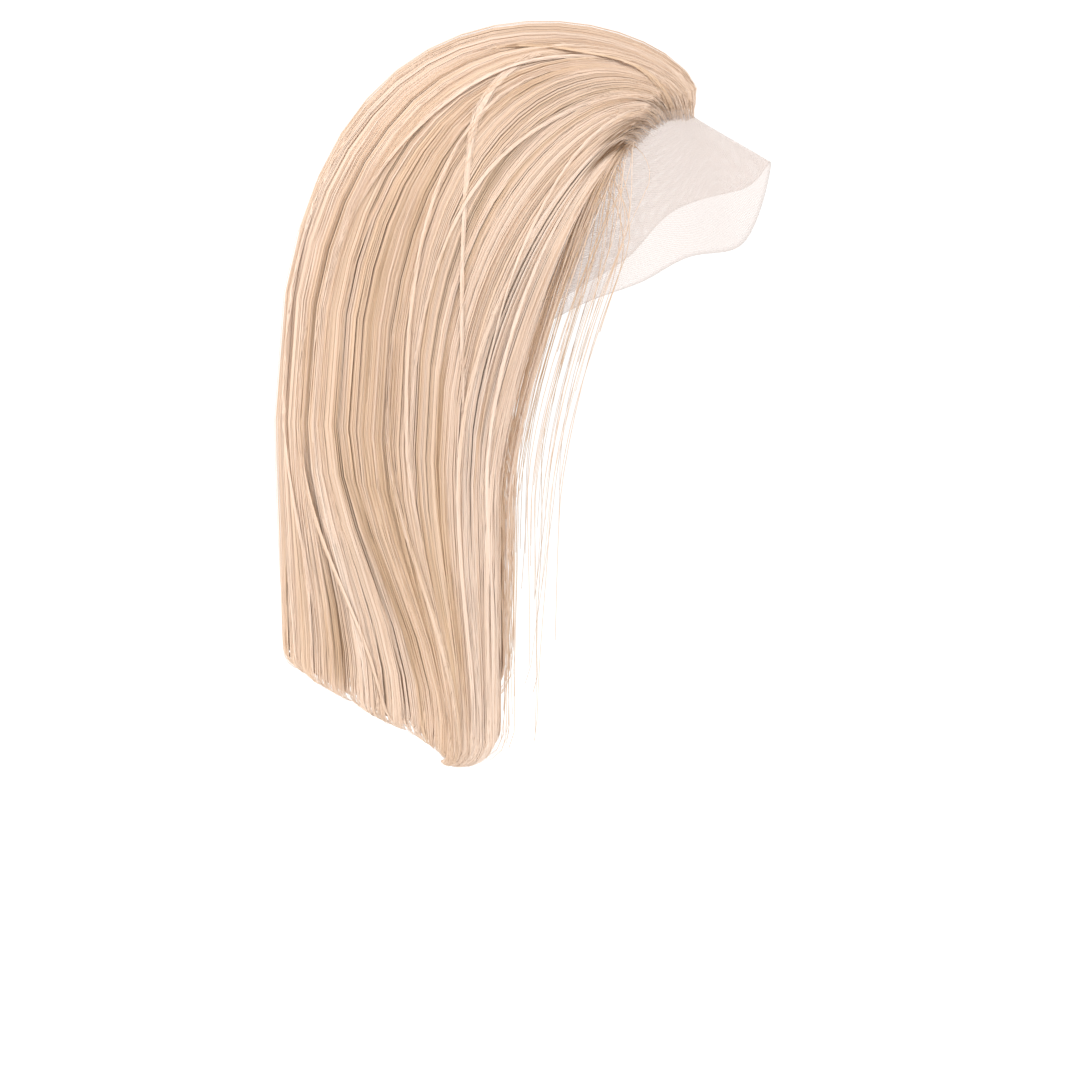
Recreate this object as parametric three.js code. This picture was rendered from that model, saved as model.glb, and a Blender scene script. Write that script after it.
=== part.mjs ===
// A blonde bob wig with a lace front, its hair brushed back from the hairline.
// Millimetres. +X is the wearer's left, -Y the front of the face, +Z up.
// The origin is the inside of the cap's top, where the wig sits on a head.

import * as THREE from 'three';

// The head that the cap fits: a rounded form, a little square in profile.
const headHalfWidth = 75;
const headHalfLength = 91;
const crownHeight = 90;
const napeHeight = 115;
const headSquareness = 2.5;

// Walls and clearances.
const capWall = 1.2;
const laceWall = 1.0;
const seamGap = 0.3;
const hairSeat = 1.4;
const lockGap = 0.5;

// The hair: how far it stands off the head, and how far it hangs below the crown.
const sideHairDepth = 16;
const backHairDepth = 41.5;
const hairLength = 364;
const rootThickness = 2.0;
const napeThickness = 38;
const hairThickness = 16;
const endThickness = 9;
const tipThickness = 3;
const grooveDepth = 4.5;
const curlRadius = 20;
const curlTurn = THREE.MathUtils.degToRad(100);
const tipTaper = 0.3;

// How far the uncut lace reaches past the head form.
const laceReach = 31;

// Shares of a lock's path: where it is at its fullest, hangs, and curls under.
const fullShare = 0.4;
const sweepShare = 0.55;
const hangShare = 0.84;

// The share of the lace, from its seam to its free edge, that lies on the head.
const laceBendShare = 0.6;

// The most that a groove takes of the hair's thickness.
const grooveLimit = 0.6;

// How finely the forms are worked out: steps in shares of a surface, halvings of a thickness,
// and the cells along and across each piece.
const hairStep = 0.004;
const sheetStep = 0.01;
const halvings = 24;
const lockColumns = 4;
const sweepSteps = 15;
const hangSteps = 4;
const curlSteps = 4;
const capCells = 14;
const laceCells = 12;
const seamCells = 32;

const hairHalfWidth = headHalfWidth + sideHairDepth;
const hairReach = headHalfLength + backHairDepth;
const headCentre = new THREE.Vector3(0, 0, -crownHeight);

// Where each lock starts on the head, from the middle of the forehead to the temple.
// across, forward and up are directions from the head's centre, as shares of its half sizes.
const hairline = [
  { across: 0.00, forward: 0.90, up: 0.62 },
  { across: 0.16, forward: 0.895, up: 0.612 },
  { across: 0.31, forward: 0.86, up: 0.605 },
  { across: 0.45, forward: 0.79, up: 0.59 },
  { across: 0.58, forward: 0.70, up: 0.56 },
  { across: 0.75, forward: 0.57, up: 0.45 },
  { across: 0.95, forward: 0.35, up: 0.20 },
];

// How the hair sweeps over the head, a row for each start above.
// lead: the way it sets off, as shares of the head's half width, half length and crown height.
// fall: across as a share of the hair's half width, above as a share of its length.
// hang: where it starts to hang, as shares of the hair's half width, reach and length.
// depth: how deep the hair is there, as a share of napeThickness.
const sweep = [
  { leadAcross: 0.00, leadForward: 0.15, leadUp: 0.49, fallAcross: 0.00, fallAbove: 0.755,
    hangAcross: 0.00, hangForward: -1.000, hangUp: -0.525, depth: 1.00 },
  { leadAcross: 0.20, leadForward: 0.05, leadUp: 0.47, fallAcross: 0.29, fallAbove: 0.715,
    hangAcross: 0.53, hangForward: -0.963, hangUp: -0.525, depth: 0.95 },
  { leadAcross: 0.38, leadForward: -0.06, leadUp: 0.45, fallAcross: 0.60, fallAbove: 0.610,
    hangAcross: 0.90, hangForward: -0.713, hangUp: -0.525, depth: 0.75 },
  { leadAcross: 0.44, leadForward: -0.10, leadUp: 0.38, fallAcross: 0.82, fallAbove: 0.590,
    hangAcross: 0.99, hangForward: -0.487, hangUp: -0.552, depth: 0.55 },
  { leadAcross: 0.50, leadForward: -0.16, leadUp: 0.24, fallAcross: 0.99, fallAbove: 0.400,
    hangAcross: 1.00, hangForward: -0.329, hangUp: -0.580, depth: 0.45 },
  { leadAcross: 0.46, leadForward: -0.22, leadUp: 0.10, fallAcross: 0.98, fallAbove: 0.230,
    hangAcross: 0.99, hangForward: -0.210, hangUp: -0.608, depth: 0.40 },
  { leadAcross: 0.16, leadForward: -0.06, leadUp: 0.12, fallAcross: 0.94, fallAbove: 0.150,
    hangAcross: 0.96, hangForward: -0.133, hangUp: -0.635, depth: 0.35 },
];

// How the hair ends, a row for each start above.
// sway: how far it drifts forward as it hangs, as a share of the hair's reach.
// tuck: how far it draws in, as a share of the hair's half width.
// end: its lowest point, as a share of the hair's length.
// curl: its curl's radius, as a share of curlRadius.
// heading: the way it curls, in degrees from straight forward towards the neck and the back.
const ends = [
  { sway: 0.02, tuck: 0.00, end: 0.855, curl: 0.55, heading: 0 },
  { sway: 0.03, tuck: 0.03, end: 0.890, curl: 0.55, heading: 35 },
  { sway: 0.28, tuck: 0.06, end: 0.972, curl: 0.60, heading: 80 },
  { sway: 0.17, tuck: 0.06, end: 0.994, curl: 0.60, heading: 115 },
  { sway: 0.07, tuck: 0.05, end: 0.998, curl: 0.70, heading: 130 },
  { sway: 0.02, tuck: 0.04, end: 1.000, curl: 0.80, heading: 140 },
  { sway: 0.00, tuck: 0.03, end: 0.990, curl: 0.90, heading: 145 },
];

// The locks of one side, from the back to the front edge; the crown lock fills the middle.
// to: the lock's front edge, counted in rows of the tables above.
// low: how far its crest lies below the fullest form, as a share of grooveDepth.
// trim: the share of its path that it is shorter.
const crownLockHalf = 0.24;
const locks = [
  { to: 0.60, low: 0.35, trim: 0.010 },
  { to: 1.00, low: 0.00, trim: 0.000 },
  { to: 1.42, low: 0.40, trim: 0.018 },
  { to: 1.80, low: 0.05, trim: 0.000 },
  { to: 2.60, low: 0.45, trim: 0.016 },
  { to: 3.75, low: 0.00, trim: 0.004 },
  { to: 5.00, low: 0.40, trim: 0.006 },
  { to: 6.00, low: 0.00, trim: 0.000 },
];

// The seam between lace and cap, from the foot of the right ear tab over the crown,
// as directions from the head's centre. The second row is where the ear notch begins.
const seam = [
  { across: -0.93, forward: -0.02, up: -0.46 },
  { across: -1.00, forward: -0.05, up: -0.08 },
  { across: -0.90, forward: -0.02, up: 0.42 },
  { across: -0.52, forward: 0.02, up: 0.85 },
  { across: 0.00, forward: 0.04, up: 1.00 },
];
const notchRow = 1;

// The cap's lower edge, from the right ear notch round behind the ear to the nape.
const rim = [
  { across: -1.00, forward: -0.20, up: -0.06 },
  { across: -0.88, forward: -0.42, up: -0.32 },
  { across: -0.52, forward: -0.60, up: -0.66 },
  { across: 0.00, forward: -0.66, up: -0.80 },
];

// The line where the lace leaves the hair, from the right ear tab to the left one.
const laceBend = [
  { across: -0.93, forward: 0.02, up: -0.44 },
  { across: -0.98, forward: 0.16, up: -0.22 },
  { across: -0.97, forward: 0.30, up: 0.08 },
  { across: -0.82, forward: 0.54, up: 0.38 },
  { across: -0.37, forward: 0.85, up: 0.58 },
  { across: 0.00, forward: 0.91, up: 0.60 },
  { across: 0.37, forward: 0.85, up: 0.58 },
  { across: 0.82, forward: 0.54, up: 0.38 },
  { across: 0.97, forward: 0.30, up: 0.08 },
  { across: 0.98, forward: 0.16, up: -0.22 },
  { across: 0.93, forward: 0.02, up: -0.44 },
];

// The lace's free edge, from the right ear tab to the left one, shorter on the left.
// across and up are shares of the head's half width and crown height from its centre,
// forward is a share of the head's half length and beyond it a share of laceReach.
const laceEdge = [
  { across: -0.92, forward: 0.03, beyond: 0.00, up: -0.57 },
  { across: -0.95, forward: 0.31, beyond: 0.00, up: -0.43 },
  { across: -0.95, forward: 0.58, beyond: 0.00, up: -0.33 },
  { across: -0.84, forward: 0.83, beyond: 0.00, up: -0.20 },
  { across: -0.45, forward: 1.00, beyond: 0.50, up: -0.12 },
  { across: 0.00, forward: 1.00, beyond: 1.00, up: 0.31 },
  { across: 0.40, forward: 1.00, beyond: 0.66, up: 0.18 },
  { across: 0.84, forward: 0.83, beyond: 0.00, up: 0.04 },
  { across: 0.95, forward: 0.56, beyond: 0.00, up: -0.24 },
  { across: 0.95, forward: 0.31, beyond: 0.00, up: -0.40 },
  { across: 0.92, forward: 0.03, beyond: 0.00, up: -0.57 },
];

const hairColours = [0xe9cfb4, 0xdfc19f, 0xeed8c2, 0xe4c8a8];
const laceColour = 0xefe6dd;
const capColour = 0xd9bd9c;

// The point in a direction from the head's centre, on the head's form grown by lift.
function onHead({ across, forward, up }, lift) {
  const profile = Math.abs(forward) ** headSquareness + Math.abs(up) ** headSquareness;
  const size = Math.sqrt(profile ** (2 / headSquareness) + across ** 2);
  const height = (up > 0 ? crownHeight : napeHeight) + lift;
  return new THREE.Vector3(
    across / size * (headHalfWidth + lift),
    -forward / size * (headHalfLength + lift),
    up / size * height,
  ).add(headCentre);
}

// True where a point is clear of the head's form grown by lift.
function isClear(point, lift) {
  const height = (point.z > headCentre.z ? crownHeight : napeHeight) + lift;
  const forward = Math.abs(point.y) / (headHalfLength + lift);
  const up = Math.abs(point.z - headCentre.z) / height;
  const across = point.x / (headHalfWidth + lift);
  const profile = forward ** headSquareness + up ** headSquareness;
  return profile ** (2 / headSquareness) + across ** 2 >= 1;
}

// Every column of a table at a place between its rows, on one smooth curve through them.
function between(table, place) {
  const last = table.length - 1;
  const row = Math.min(Math.max(Math.floor(place), 0), last - 1);
  const share = place - row;
  const result = {};
  for (const column of Object.keys(table[0])) {
    const from = table[row][column];
    const to = table[row + 1][column];
    const before = row > 0 ? table[row - 1][column] : 2 * from - to;
    const after = row + 1 < last ? table[row + 2][column] : 2 * to - from;
    const slopeFrom = (to - before) / 2;
    const slopeTo = (after - from) / 2;
    const bend = share * share * (3 - 2 * share);
    result[column] = from + (to - from) * bend
      + slopeFrom * share * (1 - share) ** 2
      - slopeTo * share * share * (1 - share);
  }
  return result;
}

// A table of one side with its other side before it; the named columns change sign there.
function mirrored(table, signed) {
  const other = table.slice(1).reverse().map((row) => {
    const copy = { ...row };
    for (const column of signed) copy[column] = -copy[column];
    return copy;
  });
  return [...other, ...table];
}

const middleRow = hairline.length - 1;
const bothHairline = mirrored(hairline, ['across']);
const bothSweep = mirrored(sweep, ['leadAcross', 'fallAcross', 'hangAcross']);
const bothEnds = mirrored(ends, ['tuck', 'heading']);

// A point of the hair's outer form: side counts rows from the middle, along runs root to tip.
function hairPoint(side, along) {
  const place = side + middleRow;
  const start = between(bothSweep, place);
  const finish = between(bothEnds, place);
  const hang = new THREE.Vector3(
    start.hangAcross * hairHalfWidth,
    -start.hangForward * hairReach,
    start.hangUp * hairLength,
  );
  if (along < sweepShare) {
    const root = onHead(between(bothHairline, place), capWall + hairSeat + rootThickness);
    const lead = new THREE.Vector3(
      root.x + start.leadAcross * headHalfWidth,
      root.y - start.leadForward * headHalfLength,
      root.z + start.leadUp * crownHeight,
    );
    const fall = new THREE.Vector3(
      start.fallAcross * hairHalfWidth,
      hang.y,
      hang.z + start.fallAbove * hairLength,
    );
    return new THREE.CubicBezierCurve3(root, lead, fall, hang).getPoint(along / sweepShare);
  }
  const radius = finish.curl * curlRadius;
  const curlTop = radius - finish.end * hairLength;
  const drawn = new THREE.Vector3(-finish.tuck * hairHalfWidth, -finish.sway * hairReach, 0);
  if (along < hangShare) {
    const share = (along - sweepShare) / (hangShare - sweepShare);
    const eased = share * share * (3 - 2 * share);
    const height = THREE.MathUtils.lerp(hang.z, curlTop, share);
    return hang.clone().addScaledVector(drawn, eased).setZ(height);
  }
  const turn = curlTurn * (along - hangShare) / (1 - hangShare);
  const heading = THREE.MathUtils.degToRad(finish.heading);
  const inwards = new THREE.Vector3(-Math.sin(heading), -Math.cos(heading), 0);
  return hang.clone().add(drawn).setZ(curlTop - radius * Math.sin(turn))
    .addScaledVector(inwards, radius * (1 - Math.cos(turn)));
}

// The direction straight out of the hair's outer form, from two short steps on it.
function hairNormal(side, along) {
  const back = Math.max(along - hairStep, 0);
  const front = Math.min(along + hairStep, 1);
  const down = hairPoint(side, front).sub(hairPoint(side, back));
  const round = hairPoint(side + hairStep, along).sub(hairPoint(side - hairStep, along));
  return round.cross(down).normalize();
}

// The hair's thickness along its path: thin at the root, full, then thinner to the tip.
function fullThickness(side, along) {
  const fullest = between(bothSweep, side + middleRow).depth * napeThickness;
  if (along < fullShare) {
    return THREE.MathUtils.lerp(rootThickness, fullest, Math.sqrt(along / fullShare));
  }
  if (along < sweepShare) {
    const share = (along - fullShare) / (sweepShare - fullShare);
    return THREE.MathUtils.lerp(fullest, hairThickness, share);
  }
  if (along < hangShare) {
    const share = (along - sweepShare) / (hangShare - sweepShare);
    return THREE.MathUtils.lerp(hairThickness, endThickness, share);
  }
  return THREE.MathUtils.lerp(endThickness, tipThickness, (along - hangShare) / (1 - hangShare));
}

// The same, but no deeper than the cap allows.
function seatedThickness(point, normal, side, along) {
  const seat = capWall + hairSeat;
  let least = 0;
  let most = fullThickness(side, along);
  if (isClear(point.clone().addScaledVector(normal, -most), seat)) return most;
  for (let halving = 0; halving < halvings; halving += 1) {
    const middle = (least + most) / 2;
    if (isClear(point.clone().addScaledVector(normal, -middle), seat)) least = middle;
    else most = middle;
  }
  return least;
}

// One closed body between an outer and an inner grid of points, its faces turned out.
function shell(outer, inner) {
  const rows = outer.length;
  const columns = outer[0].length;
  const points = [...outer.flat(), ...inner.flat()];
  const innerStart = rows * columns;
  const faces = [];
  const quad = (a, b, c, d) => faces.push(a, b, c, a, c, d);
  const at = (row, column) => row * columns + column;
  for (let row = 0; row < rows - 1; row += 1) {
    for (let column = 0; column < columns - 1; column += 1) {
      const corners = [at(row, column), at(row + 1, column), at(row + 1, column + 1), at(row, column + 1)];
      quad(...corners);
      quad(...corners.reverse().map((corner) => corner + innerStart));
    }
  }
  for (let column = 0; column < columns - 1; column += 1) {
    const first = at(0, column);
    const last = at(rows - 1, column);
    quad(first, first + 1, first + 1 + innerStart, first + innerStart);
    quad(last + 1, last, last + innerStart, last + 1 + innerStart);
  }
  for (let row = 0; row < rows - 1; row += 1) {
    const left = at(row, 0);
    const right = at(row, columns - 1);
    quad(left, left + innerStart, left + columns + innerStart, left + columns);
    quad(right, right + columns, right + columns + innerStart, right + innerStart);
  }
  let volume = 0;
  for (let face = 0; face < faces.length; face += 3) {
    const [a, b, c] = faces.slice(face, face + 3).map((corner) => points[corner]);
    volume += a.dot(b.clone().cross(c));
  }
  if (volume < 0) faces.reverse();
  const geometry = new THREE.BufferGeometry().setFromPoints(points);
  geometry.setIndex(faces);
  geometry.computeVertexNormals();
  return geometry;
}

function grid(rows, columns, point) {
  return Array.from({ length: rows + 1 }, (_, row) => (
    Array.from({ length: columns + 1 }, (__, column) => point(row / rows, column / columns))
  ));
}

// One lock between two places on the hairline, crowned across and tapered at its tip.
function lock(from, to, low, trim) {
  const stations = [];
  for (let step = 0; step < sweepSteps; step += 1) {
    stations.push(sweepShare * step / sweepSteps);
  }
  for (let step = 0; step < hangSteps; step += 1) {
    stations.push(THREE.MathUtils.lerp(sweepShare, hangShare, step / hangSteps));
  }
  for (let step = 0; step <= curlSteps; step += 1) {
    stations.push(THREE.MathUtils.lerp(hangShare, 1 - trim, step / curlSteps));
  }
  const outer = [];
  const inner = [];
  for (const along of stations) {
    const across = hairPoint(to, along).distanceTo(hairPoint(from, along));
    const curled = Math.max(0, (along - hangShare) / (1 - hangShare));
    const margin = lockGap / 2 / across;
    const kept = (1 - 2 * margin) * (1 - tipTaper * curled);
    const outerRow = [];
    const innerRow = [];
    for (let column = 0; column <= lockColumns; column += 1) {
      const centred = (column / lockColumns - 0.5) * 2;
      const side = THREE.MathUtils.lerp(from, to, 0.5 + centred * kept / 2);
      const point = hairPoint(side, along);
      const normal = hairNormal(side, along);
      const thickness = seatedThickness(point, normal, side, along);
      const crown = Math.sqrt(1 - centred * centred);
      const depth = Math.min(grooveDepth, thickness * grooveLimit);
      const sunk = depth * (low + (1 - low) * (1 - crown));
      outerRow.push(point.clone().addScaledVector(normal, -sunk));
      innerRow.push(point.clone().addScaledVector(normal, -thickness));
    }
    outer.push(outerRow);
    inner.push(innerRow);
  }
  return shell(outer, inner);
}

// A table of the right side, its last row in the middle, with its left side after it.
function bothSides(table) {
  const left = table.slice(0, -1).reverse().map((row) => ({ ...row, across: -row.across }));
  return [...table, ...left];
}

// The direction a share of the way round from one direction to another.
function turned(from, to, share) {
  const start = new THREE.Vector3(from.across, from.forward, from.up).normalize();
  const finish = new THREE.Vector3(to.across, to.forward, to.up).normalize();
  const angle = start.angleTo(finish);
  const direction = start.multiplyScalar(Math.sin((1 - share) * angle))
    .addScaledVector(finish, Math.sin(share * angle));
  return { across: direction.x, forward: direction.y, up: direction.z, angle };
}

// One closed body on both sides of a surface of two shares, as thick as its wall.
function sheet(rows, columns, surface, wall) {
  const offset = (side) => (down, round) => {
    const above = surface(Math.max(down - sheetStep, 0), round);
    const below = surface(Math.min(down + sheetStep, 1), round);
    const before = surface(down, Math.max(round - sheetStep, 0));
    const after = surface(down, Math.min(round + sheetStep, 1));
    const lower = below.sub(above);
    const further = after.sub(before);
    const normal = lower.cross(further).normalize();
    return surface(down, round).addScaledVector(normal, side * wall / 2);
  };
  return shell(grid(rows, columns, offset(1)), grid(rows, columns, offset(-1)));
}

// The row of a table a share of the way through it.
function rowAt(table, share) {
  return between(table, share * (table.length - 1));
}

const wholeSeam = bothSides(seam);
const wholeRim = bothSides(rim);
const notchShare = notchRow / (wholeSeam.length - 1);

function capSurface(down, round) {
  const front = rowAt(wholeSeam, THREE.MathUtils.lerp(notchShare, 1 - notchShare, round));
  const lower = rowAt(wholeRim, round);
  const arc = turned(front, lower, 0).angle * crownHeight;
  const share = THREE.MathUtils.lerp(seamGap / arc, 1, down);
  return onHead(turned(front, lower, share), capWall / 2);
}

function laceSurface(down, round) {
  const bend = rowAt(laceBend, round);
  if (down < laceBendShare) {
    const direction = turned(rowAt(wholeSeam, round), bend, down / laceBendShare);
    return onHead(direction, laceWall / 2);
  }
  const edge = rowAt(laceEdge, round);
  const free = new THREE.Vector3(
    edge.across * headHalfWidth,
    -(edge.forward * headHalfLength + edge.beyond * laceReach),
    edge.up * crownHeight,
  ).add(headCentre);
  return onHead(bend, laceWall / 2).lerp(free, (down - laceBendShare) / (1 - laceBendShare));
}

const wig = new THREE.Group();

function add(name, geometry, colour, roughness) {
  const material = new THREE.MeshStandardMaterial({ color: colour, roughness, metalness: 0 });
  const mesh = new THREE.Mesh(geometry, material);
  mesh.name = name;
  wig.add(mesh);
}

add('cap', sheet(capCells, seamCells * (1 - 2 * notchShare), capSurface, capWall), capColour, 0.85);
add('lace_front', sheet(laceCells, seamCells, laceSurface, laceWall), laceColour, 0.7);
add('crown_lock', lock(-crownLockHalf, crownLockHalf, 0, 0), hairColours[0], 0.45);
locks.forEach(({ to, low, trim }, number) => {
  const from = number > 0 ? locks[number - 1].to : crownLockHalf;
  const colour = hairColours[(number + 1) % hairColours.length];
  add(`lock_left_${number + 1}`, lock(from, to, low, trim), colour, 0.45);
  add(`lock_right_${number + 1}`, lock(-from, -to, low, trim), colour, 0.45);
});

export default wig;
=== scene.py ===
"""A blonde bob wig with a lace front: its strands, lace, cap and stage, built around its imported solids.

Metres. +X is the wearer's left, -Y the front of the face, +Z up.
The origin is the inside of the cap's top, where the wig sits on a head.
"""

import math

import bpy
import numpy as np
from bpy.props import FloatProperty, FloatVectorProperty, IntProperty, PointerProperty
from mathutils import Matrix, Vector


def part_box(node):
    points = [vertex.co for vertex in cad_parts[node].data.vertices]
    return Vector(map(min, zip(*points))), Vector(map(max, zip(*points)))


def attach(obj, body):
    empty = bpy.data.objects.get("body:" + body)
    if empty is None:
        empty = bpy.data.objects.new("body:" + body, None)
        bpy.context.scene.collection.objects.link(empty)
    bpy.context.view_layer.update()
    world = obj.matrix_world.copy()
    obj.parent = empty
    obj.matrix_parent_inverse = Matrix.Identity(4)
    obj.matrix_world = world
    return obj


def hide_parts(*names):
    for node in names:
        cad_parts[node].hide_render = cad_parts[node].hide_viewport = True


bl_info = {
    "name": "Blonde Lace Front Bob Wig",
    "version": (1, 0, 0),
    "blender": (4, 5, 0),
    "location": "View3D > Sidebar > Wig",
    "description": "Builds the strands, lace, cap and stage of a lace front bob wig",
    "category": "Object",
}

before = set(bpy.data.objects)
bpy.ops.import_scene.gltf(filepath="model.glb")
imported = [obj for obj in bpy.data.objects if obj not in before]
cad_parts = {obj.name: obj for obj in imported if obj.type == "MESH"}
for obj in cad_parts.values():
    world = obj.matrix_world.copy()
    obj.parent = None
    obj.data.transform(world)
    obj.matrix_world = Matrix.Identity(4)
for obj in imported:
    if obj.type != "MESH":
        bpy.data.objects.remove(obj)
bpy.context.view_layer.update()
MM = 0.001

CAP_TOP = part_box("cap")[1].z
SIDES = {"left": 1, "right": -1}


def table(columns, *rows):
    """A table as one array for each named column."""
    return dict(zip(columns.split(), np.array(rows, float).T))


# Where each lock starts on the head, from the middle of the forehead to the temple,
# as directions from the head's centre in shares of its half sizes.
HAIRLINE = table(
    "across forward up",
    (0.00, 0.90, 0.62),
    (0.16, 0.895, 0.612),
    (0.31, 0.86, 0.605),
    (0.45, 0.79, 0.59),
    (0.58, 0.70, 0.56),
    (0.75, 0.57, 0.45),
    (0.95, 0.35, 0.20),
)

# How the hair sweeps over the head, a row for each start above: the way it sets off, where it
# bends down, where it starts to hang, and how deep it is there.
SWEEP = table(
    "lead_across lead_forward lead_up fall_across fall_above hang_across hang_forward hang_up depth",
    (0.00, 0.15, 0.49, 0.00, 0.755, 0.00, -1.000, -0.525, 1.00),
    (0.20, 0.05, 0.47, 0.29, 0.715, 0.53, -0.963, -0.525, 0.95),
    (0.38, -0.06, 0.45, 0.60, 0.610, 0.90, -0.713, -0.525, 0.75),
    (0.44, -0.10, 0.38, 0.82, 0.590, 0.99, -0.487, -0.552, 0.55),
    (0.50, -0.16, 0.24, 0.99, 0.400, 1.00, -0.329, -0.580, 0.45),
    (0.46, -0.22, 0.10, 0.98, 0.230, 0.99, -0.210, -0.608, 0.40),
    (0.16, -0.06, 0.12, 0.94, 0.150, 0.96, -0.133, -0.635, 0.35),
)

# How the hair ends: how far it drifts forward and draws in, its lowest point, the radius of its
# curl as a share of the largest one, and the curl's heading in degrees from straight forward.
ENDS = table(
    "sway tuck end curl heading",
    (0.02, 0.00, 0.855, 0.55, 0),
    (0.03, 0.03, 0.890, 0.55, 35),
    (0.28, 0.06, 0.972, 0.60, 80),
    (0.17, 0.06, 0.994, 0.60, 115),
    (0.07, 0.05, 0.998, 0.70, 130),
    (0.02, 0.04, 1.000, 0.80, 140),
    (0.00, 0.03, 0.990, 0.90, 145),
)

# The locks of one side, from the back to the front edge: the row where each ends, how low its
# crest lies in the groove's depth, how much shorter it is, and its tone from tan, 0, to cream, 1.
CROWN_LOCK_HALF = 0.24
CROWN_LOCK_TONE = 0.62
LOCKS = table(
    "to low trim tone",
    (0.60, 0.35, 0.010, 0.64),
    (1.00, 0.00, 0.000, 0.60),
    (1.42, 0.40, 0.018, 0.60),
    (1.80, 0.05, 0.000, 0.64),
    (2.60, 0.45, 0.016, 0.50),
    (3.75, 0.00, 0.004, 0.54),
    (5.00, 0.40, 0.006, 0.66),
    (6.00, 0.00, 0.000, 0.72),
)

# Streaks that are paler or more golden than the hair round them: the rows of the hairline that
# they run from and to, their half width in rows, the shares of the path between which they show,
# and the change of tone.
STREAKS = table(
    "row to half start finish shift",
    (0.55, 0.55, 0.12, 0.30, 0.90, -0.10),
    (1.42, 1.42, 0.06, 0.40, 0.62, -0.22),
    (1.42, 1.36, 0.09, 0.70, 0.88, -0.34),
    (1.50, 1.55, 0.12, 0.54, 0.84, 0.14),
    (1.80, 2.20, 0.10, 0.52, 0.82, -0.28),
    (2.35, 2.25, 0.10, 0.42, 0.54, -0.22),
    (2.42, 2.72, 0.08, 0.34, 0.50, -0.26),
    (2.50, 2.80, 0.25, 0.52, 0.80, -0.22),
    (2.90, 2.80, 0.28, 0.22, 0.33, -0.26),
    (2.20, 2.60, 0.35, 0.05, 0.20, 0.35),
    (3.25, 3.60, 0.14, 0.58, 0.85, -0.26),
    (3.40, 3.70, 0.07, 0.32, 0.44, -0.30),
    (3.75, 3.90, 0.16, 0.46, 0.82, -0.42),
    (4.40, 4.50, 0.40, 0.45, 1.10, 0.10),
    (5.03, 4.70, 0.06, 0.38, 0.64, -0.32),
    (4.60, 5.60, 0.40, 0.24, 1.10, 0.14),
)

# Dark streaks at the roots of the temple: the same columns, with how dark each one is.
ROOT_STREAKS = table(
    "row to half start finish shade",
    (3.62, 3.86, 0.10, 0.00, 0.13, 0.55),
    (4.28, 4.32, 0.07, 0.00, 0.10, 0.60),
    (4.72, 4.28, 0.07, 0.00, 0.17, 0.75),
    (4.98, 4.25, 0.06, 0.01, 0.20, 0.70),
    (5.14, 4.38, 0.07, 0.02, 0.21, 0.85),
    (5.34, 4.66, 0.06, 0.03, 0.20, 0.90),
    (5.46, 4.74, 0.09, 0.03, 0.23, 1.00),
    (2.90, 3.10, 0.10, 0.00, 0.09, 0.30),
    (2.20, 2.35, 0.08, 0.00, 0.08, 0.22),
    (1.40, 1.45, 0.08, 0.00, 0.06, 0.20),
)

# Wisps that lie over the locks and cross them: the rows where each starts and finishes, the
# shares of the path where it comes up and goes under, its width and lift in millimetres, its tone.
WISPS = table(
    "row to start finish width lift tone",
    (1.40, 4.40, 0.18, 0.54, 5.5, 0.4, 0.74),
    (3.40, 1.15, 0.01, 0.32, 3.4, 1.2, 0.40),
    (2.20, 1.55, 0.12, 0.52, 3.0, 1.1, 0.72),
    (0.60, 1.25, 0.16, 0.80, 3.0, 0.6, 0.66),
    (2.60, 3.20, 0.24, 0.70, 2.8, 1.0, 0.66),
    (1.30, 1.75, 0.50, 0.95, 3.0, 0.9, 0.60),
    (3.60, 3.10, 0.16, 0.60, 2.6, 1.0, 0.70),
    (2.70, 3.45, 0.50, 0.95, 3.0, 1.0, 0.58),
    (4.60, 4.10, 0.26, 0.95, 3.0, 1.0, 0.70),
    (4.10, 4.80, 0.08, 0.50, 2.6, 1.0, 0.76),
    (5.00, 5.55, 0.12, 0.95, 3.0, 1.1, 0.84),
    (5.80, 5.15, 0.20, 0.93, 2.8, 1.0, 0.70),
)

# The seam between lace and cap, from the foot of the right ear tab over the crown.
SEAM = table(
    "across forward up",
    (-0.93, -0.02, -0.46),
    (-1.00, -0.05, -0.08),
    (-0.90, -0.02, 0.42),
    (-0.52, 0.02, 0.85),
    (0.00, 0.04, 1.00),
)
NOTCH_ROW = 1

# The cap's lower edge, from the right ear notch round behind the ear to the nape.
RIM = table(
    "across forward up",
    (-1.00, -0.20, -0.06),
    (-0.88, -0.42, -0.32),
    (-0.52, -0.60, -0.66),
    (0.00, -0.66, -0.80),
)

# The line where the lace leaves the hair, from the right ear tab to the middle.
LACE_BEND = table(
    "across forward up",
    (-0.93, 0.02, -0.44),
    (-0.98, 0.16, -0.22),
    (-0.97, 0.30, 0.08),
    (-0.82, 0.54, 0.38),
    (-0.37, 0.85, 0.58),
    (0.00, 0.91, 0.60),
)
LACE_BEND_SHARE = 0.6

# The lace's free edge, from the right ear tab to the left one, shorter on the left.
LACE_EDGE = table(
    "across forward beyond up",
    (-0.92, 0.03, 0.00, -0.57),
    (-0.95, 0.31, 0.00, -0.43),
    (-0.95, 0.58, 0.00, -0.33),
    (-0.84, 0.83, 0.00, -0.20),
    (-0.45, 1.00, 0.50, -0.12),
    (0.00, 1.00, 1.00, 0.31),
    (0.40, 1.00, 0.66, 0.18),
    (0.84, 0.83, 0.00, 0.04),
    (0.95, 0.56, 0.00, -0.24),
    (0.95, 0.31, 0.00, -0.40),
    (0.92, 0.03, 0.00, -0.57),
)

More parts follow.
